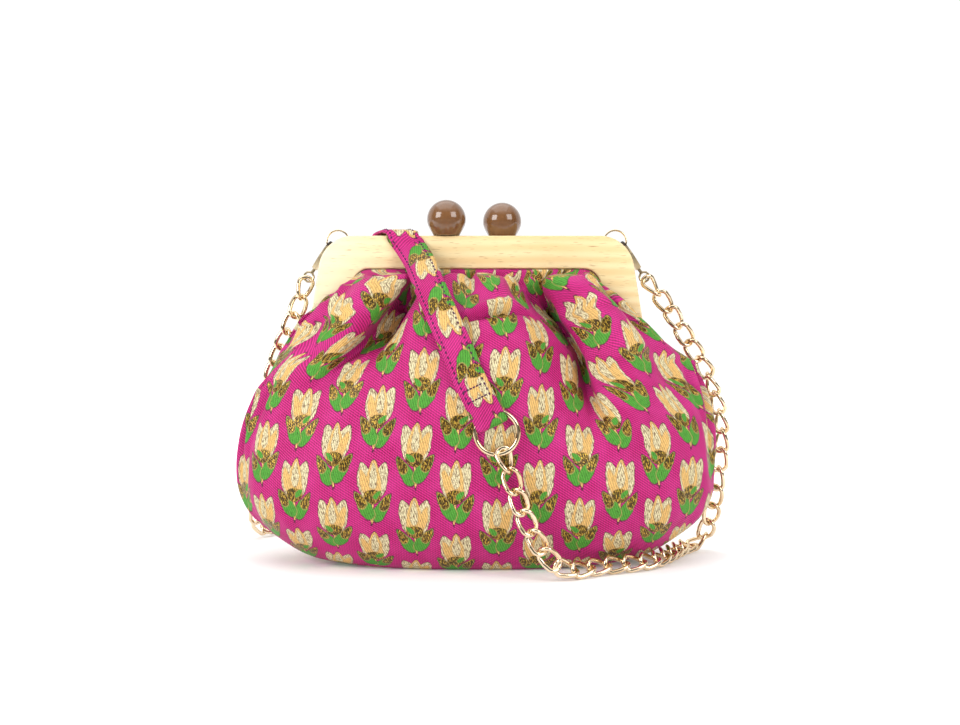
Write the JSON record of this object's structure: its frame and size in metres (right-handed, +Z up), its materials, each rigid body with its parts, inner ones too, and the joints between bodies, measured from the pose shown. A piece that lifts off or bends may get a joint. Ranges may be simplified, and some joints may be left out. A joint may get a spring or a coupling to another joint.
{
  "type": "fabric shoulder bag",
  "caption": "Gathered woven-cloth pouch on a wooden kiss-lock frame, with round knobs and a cloth strap that runs out into rings and twisted curb chains.",
  "frame": {"origin": "middle of the flat base, on the surface that the bag rests on", "axes": "+Z up, +X to the right of a viewer in front of the bag, and the front faces -Y"},
  "size_m": [0.3106, 0.1848, 0.2169],
  "materials": {
    "cloth": "magenta twill with a woven sprig pattern in cream, gold and green",
    "pine": "pale pine, clear satin varnish",
    "resin": "dark brown polished resin",
    "gold": "bright light-gold plating"
  },
  "bodies": {
    "bag": {"bag_body": "cloth", "strap": "cloth", "frame_front": "pine", "frame_back": "pine", "knob_front": "resin", "knob_back": "resin", "eye_left": "gold", "eye_right": "gold", "clasp_left": "gold", "clasp_right": "gold", "ring_front": "gold", "ring_back": "gold", "chain_left": "gold", "chain_right": "gold"},
    "lever_left": {"clasp_lever_left": "gold"},
    "lever_right": {"clasp_lever_right": "gold"}
  },
  "joints": [
    {"name": "lever_left_pivot", "type": "hinge", "parent": "bag", "child": "lever_left", "pos_m": [-0.09638, 0.0141, 0.18154], "axis": [0.8147, 0, -0.5798], "range_deg": [0, 25], "stiffness_Nm_per_rad": 0.0005},
    {"name": "lever_right_pivot", "type": "hinge", "parent": "bag", "child": "lever_right", "pos_m": [0.09638, 0.0141, 0.18154], "axis": [0.8147, 0, 0.5798], "range_deg": [0, 25], "stiffness_Nm_per_rad": 0.0005}
  ]
}
